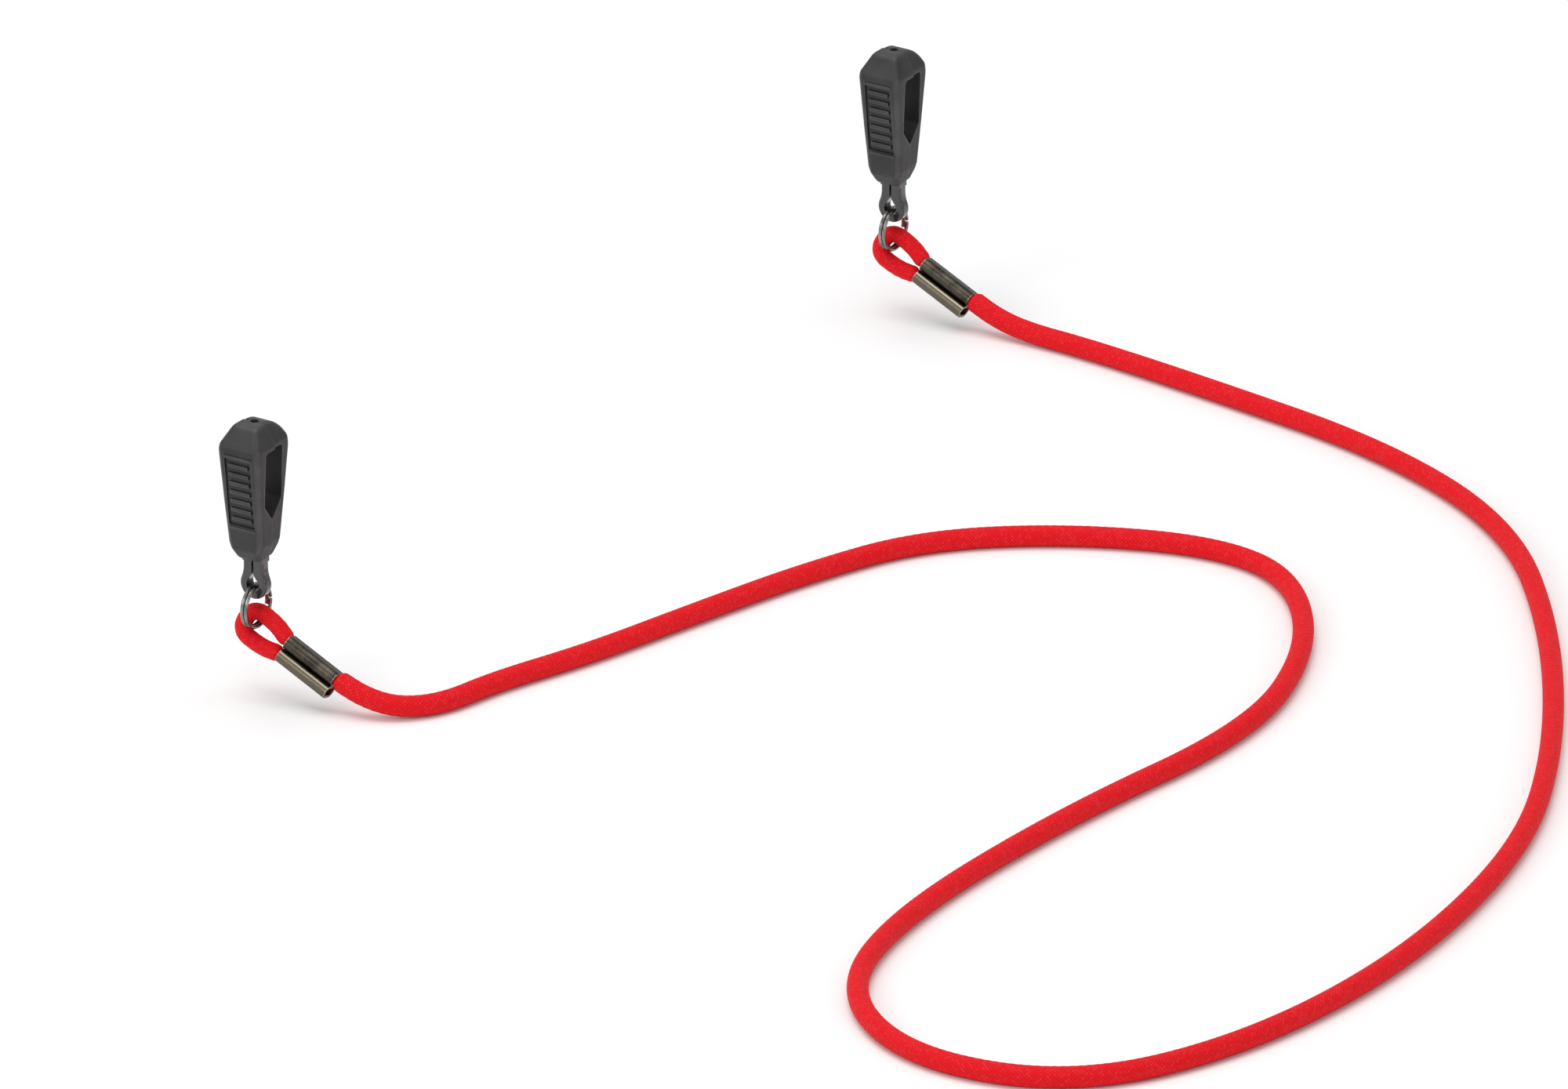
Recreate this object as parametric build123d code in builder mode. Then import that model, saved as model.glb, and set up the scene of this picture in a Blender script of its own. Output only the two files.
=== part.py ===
from build123d import *
import math
import os

# Eyeglass retainer strap: two rubber temple grips joined by one braided cord.
# Millimetres. Origin at the middle of the left grip's temple slot.
# +X runs to the right grip, +Y forward along the temples, +Z up.
# The grips stand as on the temples of folded-open glasses, the cord lies on the table.

# ---- driving dimensions ----
GRIP_SPACING = 148.0

# grip: a front half on the -X side of the seam and a back half on the +X side
GRIP_TOP = 7.8
GRIP_BOTTOM = -10.7
FRONT_HALF_WIDTH = 3.15
BACK_HALF_WIDTH = 2.8
TOP_HALF_X = 2.3
SHOULDER_X = 4.1
FOOT_HALF_X = 1.6
FRONT_ROUND = 1.4
BACK_ROUND = 3.6
FOOT_ROUND = 1.2
OUTLINE_ROUND = 0.9
EDGE_ROUND = 0.9
SEAM_CHAMFER = 0.16
SLOT_ROUND = 0.5
FACE_TOP_Z = 4.9
FACE_BOTTOM_X = 2.6
FACE_BOTTOM_Z = -9.0
SLOT_HALF_X = 2.1
SLOT_TOP = 4.7
SLOT_STRAIGHT_END = -2.6
SLOT_POINT = -5.3
TOP_HOLE_DIAMETER = 1.1
TOP_HOLE_DEPTH = 1.3

# one side of the front outline, as (share of the half width, height): its ends lie
# beyond the flat top and the flat foot, which the side outline cuts
FRONT_SHAPE = [(0.3, 9.5), (1.0, 5.2), (0.91, -2.5), (0.82, -8.2), (0.62, -10.2), (0.2, -11.4)]

# how far a cut reaches to each side of the middle plane, and how far two joined shapes overlap
THROUGH = 6.0
OVERLAP = 0.1

# generic ribbed panel on the front face
PANEL_WIDTH = 3.9
PANEL_HEIGHT = 9.4
PANEL_DEPTH = 0.25
PANEL_CENTRE = 5.8
RIB_COUNT = 7
RIB_HEIGHT = 0.5
RIB_INSET = 0.45
RIDGE_WIDTH = 4.1
RIDGE_THICKNESS = 0.34
RIDGE_PROUD = 0.16

# eyelet: a keyhole loop whose head is held between the two grip halves
EYELET_THICKNESS = 1.6
EYELET_NECK = 3.0
EYE_RADIUS = 1.98
EYE_CENTRE_Z = -14.2
EYE_HOLE_RADIUS = 0.95
EYE_HOLE_TIP_Z = -12.6
EYE_SLIT = 0.3
EYE_SHOULDER_ROUND = 4.0
EYELET_ROUND = 0.4
ANCHOR_WIDTH = 3.8
ANCHOR_TOP = -7.9
ANCHOR_BOTTOM = -9.3
POCKET_CLEARANCE = 0.03
STEM_REACH = 0.4
HOLE_SIDE_SHARE = 0.74
HOLE_SIDE_RISE = 0.55

# split ring: two turns of round wire side by side
RING_MEAN_RADIUS = 2.77
RING_WIRE = 0.5
RING_TURN_OFFSET = 0.27
RING_PIVOT_Z = -14.5
RING_BRIDGE_ANGLE = 16.0
RING_END_GAP = 7.0

# cord and the crimps that hold its ends doubled back
CORD_DIAMETER = 2.7
BIGHT_DIAMETER = 2.2
CRIMP_SLOPE = 25.5
CRIMP_ROLL = 20.0
CRIMP_START = 4.8
CRIMP_LENGTH = 8.0
CRIMP_HALF_WIDTH = 1.88
CRIMP_HALF_DEPTH = 1.4
CRIMP_SHEET = 0.34
CRIMP_ROUND = 0.6
LIP_GAP = 0.05
LIP_FOOT = -0.1
STRAND_OFFSET = 0.96
STRAND_WIDTH = 1.06
STRAND_DEPTH = 1.96
STRAND_ROUND = 0.45
STRAND_REACH = 0.7
TAIL_RECESS = 0.4
BEND_SHARE = 0.45

# ---- places worked out from them ----
RING_CENTRE_Z = RING_PIVOT_Z - RING_MEAN_RADIUS
BIGHT_PIVOT_Z = RING_PIVOT_Z - 2 * RING_MEAN_RADIUS
SLOPE = math.radians(CRIMP_SLOPE)
ROLL = math.radians(CRIMP_ROLL)
SIDES = {"left": 0.0, "right": GRIP_SPACING}

# the doubled end, as (along, across) from the ring's lower wire: along points forward
# and up the crimp's slope, across is square to it, and the first point is the main side
BIGHT_POINTS = [(-4.4, 1.05), (-2.2, 1.8), (1.7, 1.8), (1.7, -1.8), (-2.2, -1.8), (-4.4, -1.05)]

# the free cord from the left crimp to the right crimp
CORD_ROUTE = [
    (0.35, -12.1, -24.85),
    (0.7, -16.4, -26.5),
    (2.5, -20.2, -27.4),
    (7.0, -23.6, -27.6),
    (16.0, -25.2, -27.6),
    (30.0, -30.2, -27.6),
    (47.0, -34.2, -27.6),
    (66.0, -39.0, -27.6),
    (83.0, -45.6, -27.6),
    (95.0, -60.0, -27.6),
    (102.0, -78.0, -27.6),
    (98.5, -92.0, -27.6),
    (80.5, -105.5, -27.6),
    (55.0, -113.0, -27.6),
    (19.0, -107.6, -27.6),
    (-18.0, -106.8, -27.6),
    (-40.5, -113.5, -27.6),
    (-52.5, -131.0, -27.6),
    (-48.0, -152.0, -27.6),
    (-26.0, -163.0, -27.6),
    (6.0, -166.0, -27.6),
    (42.0, -160.4, -27.6),
    (71.0, -147.4, -27.6),
    (102.0, -128.0, -27.6),
    (127.0, -107.0, -27.6),
    (140.4, -80.5, -27.6),
    (146.0, -47.0, -27.6),
    (148.3, -29.5, -27.6),
    (148.5, -20.7, -27.5),
    (148.4, -16.0, -26.6),
    (148.35, -12.1, -24.85),
]

os.makedirs("parts", exist_ok=True)


def save(builder, name):
    """Label a finished piece and write its STEP file."""
    builder.part.label = name
    export_step(builder.part, f"parts/{name}.step")


def bight_place(x, along, across):
    """A point of the doubled cord end, from its distances along and across the crimp."""
    sideways = across * math.sin(ROLL)
    upwards = across * math.cos(ROLL)
    y = along * math.cos(SLOPE) - upwards * math.sin(SLOPE)
    z = BIGHT_PIVOT_Z + along * math.sin(SLOPE) + upwards * math.cos(SLOPE)
    return Vector(x + sideways, y, z)


def bend_radii(points):
    """The largest smooth bend at each corner of a route, from a share of its shorter run."""
    radii = []
    for before, corner, after in zip(points, points[1:], points[2:]):
        run_in = Vector(corner) - Vector(before)
        run_out = Vector(after) - Vector(corner)
        half_turn = math.radians(run_in.get_angle(run_out) / 2)
        radii.append(BEND_SHARE * min(run_in.length, run_out.length) / math.tan(half_turn))
    return radii


def front_outline(half_width):
    """The grip seen from the front, in Y and Z: chamfered top, waist and narrow foot."""
    one_side = [(share * half_width, z) for share, z in FRONT_SHAPE]
    other_side = [(-y, z) for y, z in reversed(one_side)]
    return one_side + other_side


def side_outline(x, outward):
    """One half of the grip seen from behind, in X and Z, from the seam outwards."""
    return [
        (x, GRIP_TOP),
        (x + outward * TOP_HALF_X, GRIP_TOP),
        (x + outward * SHOULDER_X, FACE_TOP_Z),
        (x + outward * FACE_BOTTOM_X, FACE_BOTTOM_Z),
        (x + outward * FOOT_HALF_X, GRIP_BOTTOM),
        (x, GRIP_BOTTOM),
    ]


def slot_outline(x):
    """The temple slot seen from behind: straight walls that close to a point below."""
    return [
        (x - SLOT_HALF_X, SLOT_TOP),
        (x + SLOT_HALF_X, SLOT_TOP),
        (x + SLOT_HALF_X, SLOT_STRAIGHT_END),
        (x, SLOT_POINT),
        (x - SLOT_HALF_X, SLOT_STRAIGHT_END),
    ]


def grip_rim(half, x):
    """The edges where the front outline meets the side outline, away from the seam."""
    beside = half.edges().filter_by(lambda e: abs(e.center().Y) > 0.3)
    off_seam = beside.filter_by(lambda e: abs(e.center().X - x) > 0.02)
    ends = off_seam.filter_by(lambda e: e.center().Z > GRIP_TOP - 0.01 or e.center().Z < GRIP_BOTTOM + 0.01)
    return off_seam.filter_by(Axis.X, reverse=True) + ends.filter_by(Axis.X)


def grip_half(x, outward, half_width, shoulder_round):
    """One moulded half of a grip, with its slot, its eyelet pocket and its share of the hole."""
    with BuildPart() as half:
        with BuildSketch(Plane.YZ.offset(x)) as front_view:
            with BuildLine():
                Polyline(*front_outline(half_width), close=True)
            make_face()
            fillet(front_view.vertices(), radius=OUTLINE_ROUND)
        extrude(amount=THROUGH, both=True)
        with BuildSketch(Plane.XZ) as side_view:
            with BuildLine():
                Polyline(*side_outline(x, outward), close=True)
            make_face()
            outer_corners = side_view.vertices().filter_by(lambda v: abs(v.X - x) > 0.5)
            fillet(outer_corners.filter_by(lambda v: v.Y > 0), radius=shoulder_round)
            outer_corners = side_view.vertices().filter_by(lambda v: abs(v.X - x) > 0.5)
            fillet(outer_corners.filter_by(lambda v: v.Y < 0), radius=FOOT_ROUND)
        extrude(amount=THROUGH, both=True, mode=Mode.INTERSECT)
        fillet(grip_rim(half, x), radius=EDGE_ROUND)
        seam_rim = half.edges().filter_by(lambda e: abs(e.center().X - x) < 0.01)
        chamfer(seam_rim, length=SEAM_CHAMFER)
        with BuildSketch(Plane.XZ) as slot_view:
            with BuildLine():
                Polyline(*slot_outline(x), close=True)
            make_face()
            fillet(slot_view.vertices(), radius=SLOT_ROUND)
        extrude(amount=THROUGH, both=True, mode=Mode.SUBTRACT)
        with BuildSketch(Plane.XY.offset(GRIP_TOP)):
            with Locations((x, 0)):
                Circle(TOP_HOLE_DIAMETER / 2)
        extrude(amount=-TOP_HOLE_DEPTH, mode=Mode.SUBTRACT)
        with BuildSketch(Plane.YZ.offset(x)):
            eyelet_head(POCKET_CLEARANCE)
        pocket_depth = EYELET_THICKNESS / 2 + POCKET_CLEARANCE
        extrude(amount=pocket_depth, both=True, mode=Mode.SUBTRACT)
        if outward < 0:
            add_panel(x)
    return half


def eyelet_head(clearance):
    """The eyelet's stem and its cross-shaped head, drawn in Y and Z in the current sketch."""
    stem_height = ANCHOR_BOTTOM - GRIP_BOTTOM + STEM_REACH
    anchor_height = ANCHOR_TOP - ANCHOR_BOTTOM
    with Locations((0, ANCHOR_BOTTOM - stem_height / 2 + OVERLAP)):
        Rectangle(EYELET_NECK + 2 * clearance, stem_height + 2 * OVERLAP)
    with Locations((0, ANCHOR_BOTTOM + anchor_height / 2)):
        Rectangle(ANCHOR_WIDTH + 2 * clearance, anchor_height + 2 * clearance)


def add_panel(x):
    """A shallow ribbed panel between two thin ridges, on the sloping front face."""
    top = Vector(x - SHOULDER_X, 0, FACE_TOP_Z)
    bottom = Vector(x - FACE_BOTTOM_X, 0, FACE_BOTTOM_Z)
    up = (top - bottom).normalized()
    centre = top - up * PANEL_CENTRE
    outward = up.cross(Vector(0, 1, 0))
    face = Plane(origin=centre, x_dir=(0, -1, 0), z_dir=outward)
    rib_pitch = PANEL_HEIGHT / (RIB_COUNT + 0.5)
    with BuildSketch(face) as recess:
        Rectangle(PANEL_WIDTH, PANEL_HEIGHT)
        with GridLocations(0, rib_pitch, 1, RIB_COUNT):
            Rectangle(PANEL_WIDTH - 2 * RIB_INSET, RIB_HEIGHT, mode=Mode.SUBTRACT)
    extrude(recess.sketch, amount=-PANEL_DEPTH, mode=Mode.SUBTRACT)
    with BuildSketch(face.offset(-RIDGE_PROUD)) as ridges:
        with GridLocations(0, PANEL_HEIGHT + 2 * RIDGE_THICKNESS, 1, 2):
            SlotOverall(RIDGE_WIDTH, RIDGE_THICKNESS)
    extrude(ridges.sketch, amount=2 * RIDGE_PROUD)


def eyelet(x):
    """A keyhole loop in the Y-Z plane: round eye, narrow neck, slit, and the hidden head."""
    neck_length = GRIP_BOTTOM - EYE_CENTRE_Z
    hole_side = HOLE_SIDE_SHARE * EYE_HOLE_RADIUS
    hole_side_z = EYE_CENTRE_Z + HOLE_SIDE_RISE * EYE_HOLE_RADIUS
    slit_length = ANCHOR_BOTTOM - EYE_HOLE_TIP_Z
    with BuildPart() as loop:
        with BuildSketch(Plane.YZ.offset(x)) as outline:
            with Locations((0, EYE_CENTRE_Z)):
                Circle(EYE_RADIUS)
            with Locations((0, EYE_CENTRE_Z + neck_length / 2)):
                Rectangle(EYELET_NECK, neck_length)
            beside_neck = outline.vertices().filter_by(lambda v: abs(v.X) > EYELET_NECK / 2 - 0.1)
            shoulders = beside_neck.filter_by(lambda v: EYE_CENTRE_Z + 0.5 < v.Y < GRIP_BOTTOM - 0.5)
            fillet(shoulders, radius=EYE_SHOULDER_ROUND)
        extrude(amount=EYELET_THICKNESS / 2, both=True)
        rim = loop.edges().filter_by(Axis.X, reverse=True)
        fillet(rim.filter_by(lambda e: e.center().Z < GRIP_BOTTOM - 0.05), radius=EYELET_ROUND)
        with BuildSketch(Plane.YZ.offset(x)):
            eyelet_head(0)
        extrude(amount=EYELET_THICKNESS / 2, both=True)
        with BuildSketch(Plane.YZ.offset(x)):
            with Locations((0, EYE_CENTRE_Z)):
                Circle(EYE_HOLE_RADIUS)
            with BuildLine():
                Polyline(
                    (0, EYE_HOLE_TIP_Z),
                    (hole_side, hole_side_z),
                    (-hole_side, hole_side_z),
                    close=True,
                )
            make_face()
            with Locations((0, EYE_HOLE_TIP_Z + slit_length / 2 - OVERLAP)):
                Rectangle(EYE_SLIT, slit_length + 2 * OVERLAP)
        extrude(amount=EYELET_THICKNESS, both=True, mode=Mode.SUBTRACT)
    return loop


def split_ring(x):
    """Two turns of wire side by side, joined where one crosses to the other."""
    axis = Axis((x, 0, RING_CENTRE_Z), (0, 1, 0))
    turn_angle = 360 - RING_END_GAP
    with BuildPart() as ring:
        for offset, start in ((-RING_TURN_OFFSET, 0), (RING_TURN_OFFSET, RING_BRIDGE_ANGLE + RING_END_GAP)):
            section = Plane(origin=(x, offset, RING_CENTRE_Z)).rotated((0, start, 0))
            with BuildSketch(section):
                with Locations((RING_MEAN_RADIUS, 0)):
                    Circle(RING_WIRE / 2)
            revolve(axis=axis, revolution_arc=turn_angle)
        with BuildSketch(Plane(origin=(x, 0, RING_CENTRE_Z))):
            with Locations((RING_MEAN_RADIUS, 0)):
                SlotOverall(RING_WIRE + 2 * RING_TURN_OFFSET, RING_WIRE, rotation=90)
        revolve(axis=axis, revolution_arc=RING_BRIDGE_ANGLE)
    return ring


def crimp_plane(x, along):
    """A plane square to a crimp: its x runs across the crimp, its y towards the front."""
    across = bight_place(0, 0, 1) - bight_place(0, 0, 0)
    down_slope = bight_place(0, -1, 0) - bight_place(0, 0, 0)
    return Plane(origin=bight_place(x, along, 0), x_dir=across, z_dir=down_slope)


def crimp(x):
    """A folded sheet sleeve of B section: both edges curl in at the front, between the cords."""
    wide = CRIMP_HALF_WIDTH - CRIMP_SHEET / 2
    deep = CRIMP_HALF_DEPTH - CRIMP_SHEET / 2
    lip = CRIMP_SHEET / 2 + LIP_GAP
    curl = (wide - lip) / 2
    with BuildPart() as sleeve:
        with BuildSketch(crimp_plane(x, -CRIMP_START)):
            with BuildLine():
                ThreePointArc((wide, deep - curl), (lip + curl, deep), (lip, deep - curl))
                Line((lip, deep - curl), (lip, LIP_FOOT))
                FilletPolyline(
                    (wide, deep - curl),
                    (wide, -deep),
                    (-wide, -deep),
                    (-wide, deep - curl),
                    radius=CRIMP_ROUND,
                )
                ThreePointArc((-wide, deep - curl), (-lip - curl, deep), (-lip, deep - curl))
                Line((-lip, deep - curl), (-lip, LIP_FOOT))
            trace(line_width=CRIMP_SHEET)
        extrude(amount=CRIMP_LENGTH)
    return sleeve


def swept_cord(points, diameter):
    """Add a round cord along straight runs joined by the largest smooth bends."""
    radii = bend_radii(points)
    print("bends of the cord, mm:", [round(radius, 1) for radius in radii])
    with BuildLine() as route:
        FilletPolyline(*points, radius=radii)
    with BuildSketch(Plane(origin=route.line @ 0, z_dir=route.line % 0)) as section:
        Circle(diameter / 2)
    sweep(section.sketch, path=route.line)
    return route.wire().length


def crimped_strands(x):
    """Add the two squeezed stretches of cord that a crimp holds: the main one and the tail."""
    main_length = CRIMP_LENGTH + 2 * STRAND_REACH
    tail_length = CRIMP_LENGTH + STRAND_REACH - TAIL_RECESS
    for across, length in ((STRAND_OFFSET, main_length), (-STRAND_OFFSET, tail_length)):
        with BuildSketch(crimp_plane(x, -CRIMP_START + STRAND_REACH)) as strand:
            with Locations((across, 0)):
                RectangleRounded(STRAND_WIDTH, STRAND_DEPTH, STRAND_ROUND)
        extrude(strand.sketch, amount=length)


def whole_cord():
    """The one cord: its free run and, at each end, the doubled loop and its crimped strands."""
    with BuildPart() as cord:
        length = swept_cord(CORD_ROUTE, CORD_DIAMETER)
        for x in SIDES.values():
            length += swept_cord([bight_place(x, *point) for point in BIGHT_POINTS], BIGHT_DIAMETER)
            crimped_strands(x)
            length += 2 * CRIMP_LENGTH
    print("cord length, mm:", round(length, 1))
    return cord


for side, x in SIDES.items():
    save(grip_half(x, -1, FRONT_HALF_WIDTH, FRONT_ROUND), f"{side}_grip_front")
    save(grip_half(x, 1, BACK_HALF_WIDTH, BACK_ROUND), f"{side}_grip_back")
    save(eyelet(x), f"{side}_eyelet")
    save(split_ring(x), f"{side}_split_ring")
    save(crimp(x), f"{side}_crimp")
save(whole_cord(), "cord")
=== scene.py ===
import math

import bpy
import numpy as np
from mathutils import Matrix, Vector


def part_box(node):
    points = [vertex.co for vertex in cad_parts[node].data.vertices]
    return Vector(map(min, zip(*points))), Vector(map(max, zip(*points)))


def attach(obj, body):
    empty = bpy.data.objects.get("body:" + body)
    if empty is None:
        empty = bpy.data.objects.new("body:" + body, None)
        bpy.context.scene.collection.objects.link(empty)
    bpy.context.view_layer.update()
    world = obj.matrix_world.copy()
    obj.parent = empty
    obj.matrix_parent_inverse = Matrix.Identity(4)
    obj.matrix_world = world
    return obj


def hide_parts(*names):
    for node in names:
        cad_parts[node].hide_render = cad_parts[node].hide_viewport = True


# Eyeglass retainer strap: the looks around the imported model, in the frame's own axes, +Z up.
# The grips, eyelets, split rings and crimps are the CAD nodes with finished materials.
# The braided cord is a detailed mesh that stands for the CAD node of the cord.

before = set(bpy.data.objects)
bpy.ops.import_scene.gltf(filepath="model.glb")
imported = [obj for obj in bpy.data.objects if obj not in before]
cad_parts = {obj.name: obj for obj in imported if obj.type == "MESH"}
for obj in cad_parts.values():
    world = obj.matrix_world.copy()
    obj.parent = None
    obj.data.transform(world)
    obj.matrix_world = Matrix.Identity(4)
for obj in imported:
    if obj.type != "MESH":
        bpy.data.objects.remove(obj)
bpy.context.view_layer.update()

MM = 0.001
SIDES = {"left": 0.0, "right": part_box("right_split_ring")[0].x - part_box("left_split_ring")[0].x}

# ---- camera, lights and floor, in metres and degrees ----
AZIMUTH = -57.1
ELEVATION = 23.1
CAMERA_DISTANCE = 3.0
CAMERA_TARGET = (0.0332, -0.0573, -0.0076)
CLIP_END = 20.0
FOCAL_LENGTH_MM = 550.8
SENSOR_WIDTH_MM = 36.0
WORLD_STRENGTH = 0.6
SOFTBOXES = {  # name: (place, size, power in watts)
    "overhead": ((0.05, 0.10, 1.1), 0.9, 7.0),
    "left_side": ((-0.9, 0.25, 0.55), 0.5, 2.6),
    "behind_camera": ((-0.45, -1.0, 0.22), 0.3, 0.9),
}
FLOOR_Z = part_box("cord")[0].z
FLOOR_HALF = 3.0

# ---- cord and crimps, as in the CAD part, in millimetres ----
CORD_DIAMETER = 2.7
LOOP_DIAMETER = 2.2
LOWER_WIRE_Z = -20.04
CRIMP_SLOPE = math.radians(25.5)
CRIMP_ROLL = math.radians(20.0)
CRIMP_START = -4.8
CRIMP_END = -12.8
STRAND_WIDTH = 1.06
STRAND_DEPTH = 1.96

# ---- the braid, and how the cord changes shape, in millimetres ----
BRAID_PITCH = 1.06
BRAID_STRANDS = 8
BRAID_RELIEF = 0.03
HELD_RELIEF = 0.5  # the share of the relief that is left inside a crimp
SAMPLES_PER_STITCH = 4
CURVE_STEPS = 48
SQUEEZE_REACH = 0.7  # the strands begin to flatten this far outside a crimp's mouth
SQUEEZE_BLEND = 1.3
LOOP_BLEND = 2.0
SIDE_REACH = 2.0  # a point farther than this to the side of its crimp is on the free cord
CUT_ROUND = 0.5
CUT_SHARE = 0.72  # the cut end's radius, as a share of the cord's
CRIMP_LIP = 0.42  # how far below a crimp's middle the painted highlight along its lip runs

# the doubled end of the cord, as (along, across) from the ring's lower wire
TAIL_POINTS = [(-12.3, -0.96), (-9.2, -0.96), (-6.2, -0.96)]
LOOP_POINTS = [(-4.4, -1.05), (-2.2, -1.8), (1.7, -1.8), (1.7, 1.8), (-2.2, 1.8), (-4.4, 1.05)]
MAIN_POINTS = [(-6.2, 0.96), (-9.2, 0.96)]

# the free cord from the left crimp to the right crimp
FREE_RUN = [
    (0.35, -12.1, -24.85),
    (0.7, -16.4, -26.5),
    (2.5, -20.2, -27.4),
    (7.0, -23.6, -27.6),
    (16.0, -25.2, -27.6),
    (30.0, -30.2, -27.6),
    (47.0, -34.2, -27.6),
    (66.0, -39.0, -27.6),
    (83.0, -45.6, -27.6),
    (95.0, -60.0, -27.6),
    (102.0, -78.0, -27.6),
    (98.5, -92.0, -27.6),
    (80.5, -105.5, -27.6),
    (55.0, -113.0, -27.6),
    (19.0, -107.6, -27.6),
    (-18.0, -106.8, -27.6),
    (-40.5, -113.5, -27.6),
    (-52.5, -131.0, -27.6),
    (-48.0, -152.0, -27.6),
    (-26.0, -163.0, -27.6),
    (6.0, -166.0, -27.6),
    (42.0, -160.4, -27.6),
    (71.0, -147.4, -27.6),
    (102.0, -128.0, -27.6),
    (127.0, -107.0, -27.6),
    (140.4, -80.5, -27.6),
    (146.0, -47.0, -27.6),
    (148.3, -29.5, -27.6),
    (148.5, -20.7, -27.5),
    (148.4, -16.0, -26.6),
    (148.35, -12.1, -24.85),
]


# ---------------------------------------------------------------- materials

class Shader:
    """One material: a Principled shader and the nodes that feed it."""

    def __init__(self, name, **constants):
        self.material = bpy.data.materials.new(name)
        self.material.use_nodes = True
        self.tree = self.material.node_tree
        self.surface = self.tree.nodes["Principled BSDF"]
        self.set(self.surface, constants)

    def set(self, node, inputs):
        """Give each named socket a constant, or link it to another node's output."""
        for socket, value in inputs.items():
            if isinstance(socket, str):
                socket = socket.replace("_", " ")
            if isinstance(value, bpy.types.NodeSocket):
                self.tree.links.new(value, node.inputs[socket])
            else:
                node.inputs[socket].default_value = value

    def node(self, kind, inputs, output=0, **settings):
        """Add a node, and return one of its outputs."""
        made = self.tree.nodes.new("ShaderNode" + kind)
        for name, value in settings.items():
            setattr(made, name, value)
        self.set(made, inputs)
        return made.outputs[output]

    def math(self, operation, *values):
        return self.node("Math", dict(enumerate(values)), operation=operation)

    def vectors(self, operation, first, second, output=0):
        return self.node("VectorMath", {0: first, 1: second}, output=output, operation=operation)

    def parts(self, vector):
        """The X, Y and Z of a vector."""
        return self.node("SeparateXYZ", {"Vector": vector}).node.outputs

    def own(self, kind="Object"):
        """A piece's own coordinates: Object in metres, Generated as shares of its box, Normal or UV."""
        return self.node("TexCoord", {}, output=kind)

    def noise(self, per_mm, detail, stretch=(1.0, 1.0, 1.0)):
        """Noise with that many blobs to the millimetre; a stretch under 1 draws them out."""
        place = self.node("Mapping", {"Vector": self.own(), "Scale": stretch})
        return self.node("TexNoise", {"Vector": place, "Scale": per_mm / MM, "Detail": detail})

    def spread(self, value, source, target):
        """A value taken from one range to another, each given as (low, high), and held inside it."""
        inputs = {"Value": value, 1: source[0], 2: source[1], 3: target[0], 4: target[1]}
        return self.node("MapRange", inputs)

    def mix(self, amount, first, second):
        """The first colour where the amount is 0, and the second where it is 1."""
        inputs = {"Factor": amount}
        for socket, colour in ((6, first), (7, second)):
            inputs[socket] = (*colour, 1.0) if isinstance(colour, tuple) else colour
        return self.node("Mix", inputs, output=2, data_type="RGBA")

    def edges(self, radius_mm):
        """1 on the sharp edges of a piece, where it rubs and wears, and 0 on its faces."""
        rounded = self.node("Bevel", {"Radius": radius_mm * MM}, samples=6)
        flat = self.node("NewGeometry", {}, output="Normal")
        same = self.vectors("DOT_PRODUCT", rounded, flat, output="Value")
        return self.spread(same, (0.99, 0.86), (0.0, 1.0))

    def bump(self, height, depth_mm, strength):
        inputs = {"Height": height, "Strength": strength, "Distance": depth_mm * MM}
        self.set(self.surface, {"Normal": self.node("Bump", inputs)})


def grip_rubber():
    """Matte charcoal rubber: moulded grain, dust, painted shade in the creases, worn sharp edges, and a
    painted highlight on the rounded corners and top faces.
    """
    dark, light = (0.009, 0.0085, 0.0095), (0.018, 0.017, 0.0185)
    dusty, polished_and_highlight, crease_shade = (0.07, 0.067, 0.066), (0.075, 0.070, 0.070), (0.002, 0.002, 0.002)
    shader = Shader("moulded_rubber", Specular_IOR_Level=0.5)
    mottling = shader.noise(0.3, 4.0)
    grain = shader.noise(7.0, 3.0)
    outward, sideways, upward = shader.parts(shader.own("Normal"))
    # painted highlight: the rounded vertical corners and the upward faces are lightened where light
    # falls on them; the sharp edges are lightened as wear
    corner_highlight = shader.math("ABSOLUTE", shader.math("MULTIPLY", outward, sideways))
    corner_highlight = shader.spread(corner_highlight, (0.12, 0.45), (0.0, 0.75))
    top_highlight = shader.spread(upward, (0.35, 0.95), (0.0, 0.5))
    lightened = shader.math("MAXIMUM", shader.math("MAXIMUM", corner_highlight, top_highlight), shader.edges(0.45))
    wear_and_highlight = shader.math("MULTIPLY", lightened, shader.spread(mottling, (0.3, 0.7), (0.4, 1.0)))
    colour = shader.mix(shader.spread(mottling, (0.35, 0.65), (0.0, 1.0)), dark, light)
    dust = shader.spread(shader.noise(2.2, 5.0), (0.62, 0.78), (0.0, 0.22))
    colour = shader.mix(dust, colour, dusty)
    # the lighter colour is wear on the sharp edges and painted highlight on the corners and top faces
    colour = shader.mix(wear_and_highlight, colour, polished_and_highlight)
    # painted shade: creases and recesses, found by ambient occlusion, are darkened towards near black
    open_air = shader.node("AmbientOcclusion", {"Distance": 0.8 * MM}, output="AO", samples=8)
    colour = shader.mix(shader.spread(open_air, (0.35, 0.9), (0.85, 0.0)), colour, crease_shade)
    grained = shader.spread(grain, (0.3, 0.7), (0.44, 0.60))
    roughness = shader.math("SUBTRACT", grained, shader.math("MULTIPLY", wear_and_highlight, 0.14))
    shader.set(shader.surface, {"Base Color": colour, "Roughness": roughness})
    shader.bump(grain, 0.03, 0.55)
    return shader.material


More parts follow.
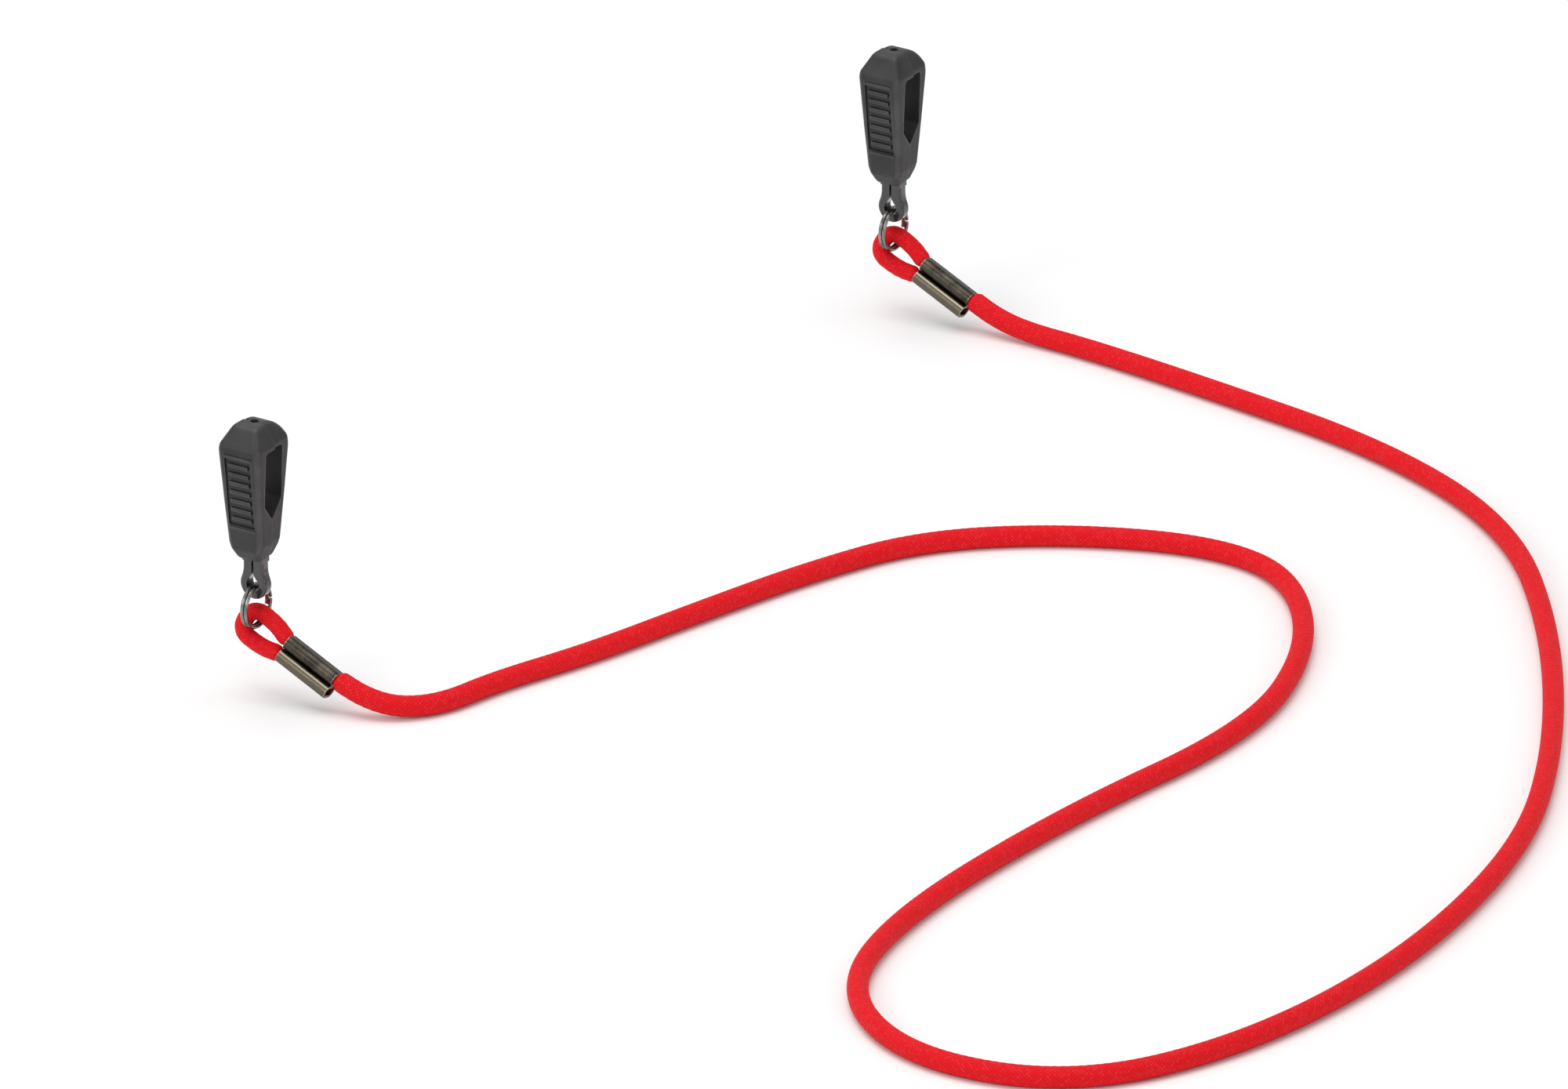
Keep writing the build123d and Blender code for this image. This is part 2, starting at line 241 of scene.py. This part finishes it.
def eyelet_plastic():
    """Glossy black plastic, with flow marks from the mould and fine rubbing."""
    black, streaked, worn = (0.004, 0.004, 0.0045), (0.017, 0.0165, 0.017), (0.06, 0.058, 0.056)
    shader = Shader("glossy_plastic", Specular_IOR_Level=0.6, Coat_Weight=0.6, Coat_Roughness=0.08)
    flow = shader.noise(0.7, 3.0, stretch=(1.0, 1.0, 0.35))
    rubbing = shader.noise(5.0, 4.0, stretch=(0.3, 1.0, 1.0))
    colour = shader.mix(shader.spread(flow, (0.35, 0.65), (0.0, 1.0)), black, streaked)
    colour = shader.mix(shader.math("MULTIPLY", shader.edges(0.2), 0.35), colour, worn)
    roughness = shader.spread(rubbing, (0.3, 0.7), (0.12, 0.32))
    shader.set(shader.surface, {"Base Color": colour, "Roughness": roughness})
    shader.bump(flow, 0.09, 0.6)
    return shader.material


def ring_metal():
    """Dark nickel wire: patches of tarnish and fine drawn lines."""
    bright, tarnished = (0.34, 0.325, 0.31), (0.15, 0.135, 0.12)
    shader = Shader("dark_nickel", Metallic=1.0)
    tarnish = shader.noise(1.1, 4.0)
    drawn = shader.noise(9.0, 2.0, stretch=(0.25, 1.0, 0.25))
    colour = shader.mix(shader.spread(tarnish, (0.35, 0.7), (0.0, 1.0)), bright, tarnished)
    roughness = shader.spread(drawn, (0.3, 0.7), (0.16, 0.36))
    shader.set(shader.surface, {"Base Color": colour, "Roughness": roughness})
    shader.bump(drawn, 0.01, 0.4)
    return shader.material


def crimp_brass():
    """Antiqued brass sheet: blotchy patina, a lighter lower lobe, bare worn edges and a painted
    highlight along the lip.
    """
    dark, light, lower_lobe = (0.036, 0.032, 0.026), (0.088, 0.077, 0.058), (0.165, 0.142, 0.104)
    speckled, bare_metal_and_highlight = (0.17, 0.15, 0.11), (0.60, 0.52, 0.38)
    shader = Shader("antique_brass", Metallic=1.0)
    blotches = shader.noise(0.55, 5.0)
    speckle = shader.noise(4.5, 4.0)
    scratches = shader.noise(8.0, 2.0, stretch=(1.0, 0.12, 0.12))
    low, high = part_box("left_crimp")
    centre = end_place(0.0, 0.0, 0.0)
    across = (end_place(0.0, 0.0, 1.0) - centre).normalized()
    down_slope = (end_place(0.0, -1.0, 0.0) - centre).normalized()
    from_middle = shader.vectors("SUBTRACT", shader.own("Generated"), (0.5, 0.5, 0.5))

    def distance(direction):
        """Millimetres from the middle of the crimp in that direction."""
        scaled = [direction[axis] * (high - low)[axis] / MM for axis in range(3)]
        return shader.vectors("DOT_PRODUCT", from_middle, scaled, output="Value")

    upwards, leftwards = distance(across), distance(down_slope.cross(across))
    patina = shader.mix(shader.spread(blotches, (0.36, 0.64), (0.0, 1.0)), dark, light)
    patina = shader.mix(shader.spread(upwards, (-0.6, 0.1), (0.75, 0.0)), patina, lower_lobe)
    patina = shader.mix(shader.spread(speckle, (0.55, 0.72), (0.0, 0.5)), patina, speckled)
    lightened = shader.spread(blotches, (0.3, 0.6), (0.55, 1.0))
    lightened = shader.math("MULTIPLY", shader.edges(0.16), lightened)
    # painted highlight: a bright line along the lower lobe's lip, on the crimp's front side, broken
    # into patches
    from_lip = shader.math("ABSOLUTE", shader.math("ADD", upwards, CRIMP_LIP))
    at_lip = shader.spread(from_lip, (0.03, 0.14), (0.62, 0.0))
    on_left = shader.spread(leftwards, (0.5, 0.8), (0.0, 1.0))
    patchy = shader.spread(speckle, (0.3, 0.7), (0.55, 1.0))
    lip_highlight = shader.math("MULTIPLY", shader.math("MULTIPLY", at_lip, on_left), patchy)
    # bare metal on the worn edges, and the same colour as painted highlight on the lip
    colour = shader.mix(shader.math("MAXIMUM", lightened, lip_highlight), patina, bare_metal_and_highlight)
    roughness = shader.spread(speckle, (0.3, 0.7), (0.30, 0.46))
    shader.set(shader.surface, {"Base Color": colour, "Roughness": roughness})
    shader.bump(shader.math("ADD", speckle, scratches), 0.012, 0.5)
    return shader.material


def cord_fabric():
    """Red braided yarn. The weave's own coordinates are the cord's UV map, in stitches."""
    groove_shade, full, faded = (0.62, 0.004, 0.009), (0.82, 0.007, 0.014), (0.72, 0.006, 0.011)
    fuzz_and_glint = (0.88, 0.10, 0.13)
    shader = Shader(
        "braided_yarn", Specular_IOR_Level=0.12,
        Sheen_Weight=0.06, Sheen_Roughness=0.4, Sheen_Tint=(1.0, 0.35, 0.35, 1.0),
    )
    weave = shader.node("Mapping", {"Vector": shader.own("UV"), "Scale": (2.0, 2.0, 1.0)})
    along, around, _ = shader.parts(weave)
    one_way = shader.math("ADD", along, around)
    other_way = shader.math("SUBTRACT", along, around)
    first = shader.math("FRACT", one_way)
    second = shader.math("FRACT", other_way)
    cells = [shader.math("FLOOR", one_way), shader.math("FLOOR", other_way)]
    odd = shader.math("PINGPONG", shader.math("ADD", *cells), 1.0)

    def arch(value, repeats):
        wave = shader.math("SINE", shader.math("MULTIPLY", value, math.pi * repeats))
        return shader.math("ABSOLUTE", wave)

    def yarn(cross, length):
        """Two plies side by side, arched along the stitch."""
        split_between = shader.spread(arch(cross, 2), (0.0, 0.6), (0.55, 1.0))
        plies = shader.math("MULTIPLY", arch(cross, 1), split_between)
        crown = shader.math("POWER", arch(length, 1), 0.45)
        return shader.math("MULTIPLY", shader.math("POWER", plies, 0.6), crown)

    over, under = yarn(first, second), yarn(second, first)
    difference = shader.math("SUBTRACT", under, over)
    height = shader.math("ADD", over, shader.math("MULTIPLY", difference, odd))
    cell = shader.node("CombineXYZ", {0: cells[0], 1: cells[1]})
    chance = shader.node("TexWhiteNoise", {"Vector": cell}, noise_dimensions="3D")
    fuzz = shader.noise(6.0, 3.0)
    wear = shader.noise(0.09, 4.0)
    # painted shade: the grooves between the stitches are coloured a darker red
    red = shader.mix(height, groove_shade, full)
    red = shader.mix(shader.spread(wear, (0.3, 0.7), (0.0, 0.35)), red, faded)
    # painted glints: random stitch crowns are lightened towards pink, and fine fibre fuzz is lightened
    # too
    fuzz_and_glint_amount = shader.math("MULTIPLY", shader.spread(chance, (0.5, 1.0), (0.0, 0.22)), height)
    fuzz_and_glint_amount = shader.math("ADD", fuzz_and_glint_amount, shader.spread(fuzz, (0.60, 0.80), (0.0, 0.10)))
    roughness = shader.spread(height, (0.0, 1.0), (0.80, 0.58))
    shader.set(shader.surface, {"Base Color": shader.mix(fuzz_and_glint_amount, red, fuzz_and_glint), "Roughness": roughness})
    shader.bump(shader.math("ADD", height, shader.math("MULTIPLY", fuzz, 0.5)), 0.07, 0.7)
    return shader.material


# ---------------------------------------------------------------- the cord

def end_place(x, along, across):
    """A point of a doubled cord end in metres, from its distances along and across the crimp."""
    sideways, upwards = across * math.sin(CRIMP_ROLL), across * math.cos(CRIMP_ROLL)
    y = along * math.cos(CRIMP_SLOPE) - upwards * math.sin(CRIMP_SLOPE)
    z = LOWER_WIRE_Z + along * math.sin(CRIMP_SLOPE) + upwards * math.cos(CRIMP_SLOPE)
    return Vector((x + sideways * MM, y * MM, z * MM))


def route_points():
    """The whole cord: left tail, left loop, the free run, right loop and right tail."""
    end = TAIL_POINTS + LOOP_POINTS + MAIN_POINTS
    left = [end_place(SIDES["left"], *point) for point in end]
    right = [end_place(SIDES["right"], *point) for point in reversed(end)]
    return left + [Vector(point) * MM for point in FREE_RUN] + right


def spline_line(points):
    """The smooth line of a NURBS spline through that route."""
    curve = bpy.data.curves.new("route", "CURVE")
    curve.dimensions = "3D"
    curve.resolution_u = CURVE_STEPS
    spline = curve.splines.new("NURBS")
    spline.points.add(len(points) - 1)
    for point, place in zip(spline.points, points):
        point.co = (*place, 1.0)
    spline.order_u = 3
    spline.use_endpoint_u = True
    holder = bpy.data.objects.new("route", curve)
    mesh = bpy.data.meshes.new_from_object(holder)
    line = np.array([vertex.co for vertex in mesh.vertices])
    bpy.data.meshes.remove(mesh)
    bpy.data.objects.remove(holder)
    bpy.data.curves.remove(curve)
    return line


def evenly(line, step):
    """The same line with points about one step apart, and each point's distance along it."""
    run = np.concatenate([[0.0], np.cumsum(np.linalg.norm(np.diff(line, axis=0), axis=1))])
    distance = np.linspace(0.0, run[-1], round(run[-1] / step) + 1)
    return np.column_stack([np.interp(distance, run, line[:, axis]) for axis in range(3)]), distance


def frames_along(line, start_normal):
    """Two directions square to the line at each point, carried along it without twist."""
    tangent = np.gradient(line, axis=0)
    tangent = tangent / np.linalg.norm(tangent, axis=1, keepdims=True)
    normal = np.empty_like(line)
    carried = np.array(start_normal)
    for i, direction in enumerate(tangent):
        carried = carried - direction * (carried @ direction)
        carried = carried / np.linalg.norm(carried)
        normal[i] = carried
    return normal, np.cross(tangent, normal)


def smooth_step(value):
    value = np.clip(value, 0.0, 1.0)
    return value * value * (3.0 - 2.0 * value)


def squeeze_along(line):
    """How far each point is held in a crimp, and how far it is in a loop, from 0 to 1."""
    y, z = line[:, 1] / MM, line[:, 2] / MM - LOWER_WIRE_Z
    along = y * math.cos(CRIMP_SLOPE) + z * math.sin(CRIMP_SLOPE)
    off_side = np.minimum(abs(line[:, 0] - SIDES["left"]), abs(line[:, 0] - SIDES["right"])) / MM
    beside = smooth_step(SIDE_REACH - off_side)
    past_start = smooth_step((CRIMP_START + SQUEEZE_REACH - along) / SQUEEZE_BLEND)
    before_end = smooth_step((along - CRIMP_END + SQUEEZE_REACH) / SQUEEZE_BLEND)
    loop = smooth_step((along - CRIMP_START) / LOOP_BLEND + 1.0)
    return past_start * before_end * beside, loop * beside


def braid_height(along, around):
    """The braid's relief from -0.5 to 0.5: a pillow on each stitch of its diamond lattice."""
    first, second = (along + around) % 1.0, (along - around) % 1.0
    return np.sin(math.pi * first) * np.sin(math.pi * second) - 0.5


def braid_surface(line, distance, along, around):
    """Rings of points round the line: the braid's relief, squeezed in the crimps, with cut ends."""
    normal, binormal = frames_along(line, (1.0, 0.0, 0.0))
    held, loop = squeeze_along(line)
    relief = braid_height(along[:, None], around[None, :]) * BRAID_RELIEF
    radius = CORD_DIAMETER / 2 + (LOOP_DIAMETER - CORD_DIAMETER) / 2 * loop
    cut = smooth_step(np.minimum(distance, distance[-1] - distance) / (CUT_ROUND * MM))
    radius = radius * (CUT_SHARE + (1.0 - CUT_SHARE) * np.sqrt(cut))
    left_over = 1.0 - (1.0 - HELD_RELIEF) * held
    reach = (radius[:, None] + relief * left_over[:, None]) * MM
    angle = around * 2.0 * math.pi / BRAID_STRANDS
    offset = (
        normal[:, None, :] * (np.cos(angle)[None, :] * reach)[:, :, None]
        + binormal[:, None, :] * (np.sin(angle)[None, :] * reach)[:, :, None]
    )
    across = np.array(end_place(0.0, 0.0, 1.0) - end_place(0.0, 0.0, 0.0)) / MM
    part_across = (offset @ across)[:, :, None] * across
    squeezed = offset * (STRAND_DEPTH / CORD_DIAMETER)
    squeezed += part_across * (STRAND_WIDTH - STRAND_DEPTH) / CORD_DIAMETER
    offset += held[:, None, None] * (squeezed - offset)
    return (line[:, None, :] + offset).reshape(-1, 3)


def tube_faces(rings, sides):
    """Quads between neighbouring rings of vertices, and one face over each end."""
    faces = []
    for ring in range(rings - 1):
        here, there = ring * sides, (ring + 1) * sides
        for side in range(sides):
            across = (side + 1) % sides
            faces.append((here + side, here + across, there + across, there + side))
    faces.append(tuple(reversed(range(sides))))
    faces.append(tuple(range((rings - 1) * sides, rings * sides)))
    return faces


def add_weave(mesh, along, around):
    """A UV map in stitches, in the order of tube_faces and their corners."""
    corner_along, corner_around = [], []
    for ring in range(len(along) - 1):
        for side in range(len(around)):
            corner_along += [along[ring], along[ring], along[ring + 1], along[ring + 1]]
            here, there = side / SAMPLES_PER_STITCH, (side + 1) / SAMPLES_PER_STITCH
            corner_around += [here, there, there, here]
    corner_along += [along[0]] * len(around) + [along[-1]] * len(around)
    corner_around += list(around[::-1]) + list(around)
    layer = mesh.uv_layers.new(name="weave")
    layer.data.foreach_set("uv", np.column_stack([corner_along, corner_around]).ravel())


def make_mesh(name, vertices, faces, material):
    mesh = bpy.data.meshes.new(name)
    mesh.from_pydata(vertices, [], faces)
    mesh.materials.append(material)
    return mesh


def link(name, data):
    """A new object with that data, in the scene."""
    made = bpy.data.objects.new(name, data)
    bpy.context.scene.collection.objects.link(made)
    return made


def add_braided_cord():
    """The cord as one tube, which rides on the strap's body and stands for the CAD cord."""
    line, distance = evenly(spline_line(route_points()), BRAID_PITCH * MM / SAMPLES_PER_STITCH)
    along = distance / (BRAID_PITCH * MM)
    around = np.arange(BRAID_STRANDS * SAMPLES_PER_STITCH) / SAMPLES_PER_STITCH
    vertices = braid_surface(line, distance, along, around).tolist()
    mesh = make_mesh("braided_cord", vertices, tube_faces(len(line), len(around)), cord_fabric())
    mesh.shade_smooth()
    add_weave(mesh, along, around)
    piece = link("braided_cord", mesh)
    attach(piece, "strap_cord")
    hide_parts("cord")


# ---------------------------------------------------------------- studio

def aim(thing, direction):
    """Turn a camera or a light to look in that direction."""
    thing.rotation_euler = direction.to_track_quat("-Z", "Y").to_euler()


def add_floor():
    """A plain pale floor under the cord."""
    shader = Shader("pale_floor", Roughness=0.9, Specular_IOR_Level=0.1)
    paper = shader.mix(shader.noise(0.004, 3.0), (0.90, 0.90, 0.90), (0.92, 0.92, 0.92))
    shader.set(shader.surface, {"Base Color": paper})
    signs = [(-1, -1), (1, -1), (1, 1), (-1, 1)]
    corners = [(x * FLOOR_HALF, y * FLOOR_HALF, FLOOR_Z) for x, y in signs]
    link("floor", make_mesh("floor", corners, [(0, 1, 2, 3)], shader.material))


def add_studio():
    world = bpy.data.worlds.new("studio")
    world.use_nodes = True
    background = world.node_tree.nodes["Background"].inputs
    background["Color"].default_value = (1.0, 1.0, 1.0, 1.0)
    background["Strength"].default_value = WORLD_STRENGTH
    bpy.context.scene.world = world
    bpy.context.scene.view_settings.view_transform = "Standard"
    for name, (place, size, power) in SOFTBOXES.items():
        data = bpy.data.lights.new(name, "AREA")
        data.size = size
        data.energy = power
        light = link(name, data)
        light.location = place
        aim(light, Vector(CAMERA_TARGET) - Vector(place))


def add_camera():
    data = bpy.data.cameras.new("camera")
    data.sensor_width = SENSOR_WIDTH_MM
    data.lens = FOCAL_LENGTH_MM
    data.clip_end = CLIP_END
    azimuth, elevation = math.radians(AZIMUTH), math.radians(ELEVATION)
    level = math.cos(elevation)
    view = Vector((-math.sin(azimuth) * level, math.cos(azimuth) * level, -math.sin(elevation)))
    camera = link("camera", data)
    camera.location = Vector(CAMERA_TARGET) - view * CAMERA_DISTANCE
    aim(camera, view)
    bpy.context.scene.camera = camera


def give_material(node, material):
    """Put a finished material on a CAD node."""
    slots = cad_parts[node].data.materials
    slots.clear()
    slots.append(material)


rubber = grip_rubber()
plastic = eyelet_plastic()
nickel = ring_metal()
brass = crimp_brass()
for side in SIDES:
    give_material(f"{side}_grip_front", rubber)
    give_material(f"{side}_grip_back", rubber)
    give_material(f"{side}_eyelet", plastic)
    give_material(f"{side}_split_ring", nickel)
    give_material(f"{side}_crimp", brass)
add_braided_cord()
add_floor()
add_studio()
add_camera()
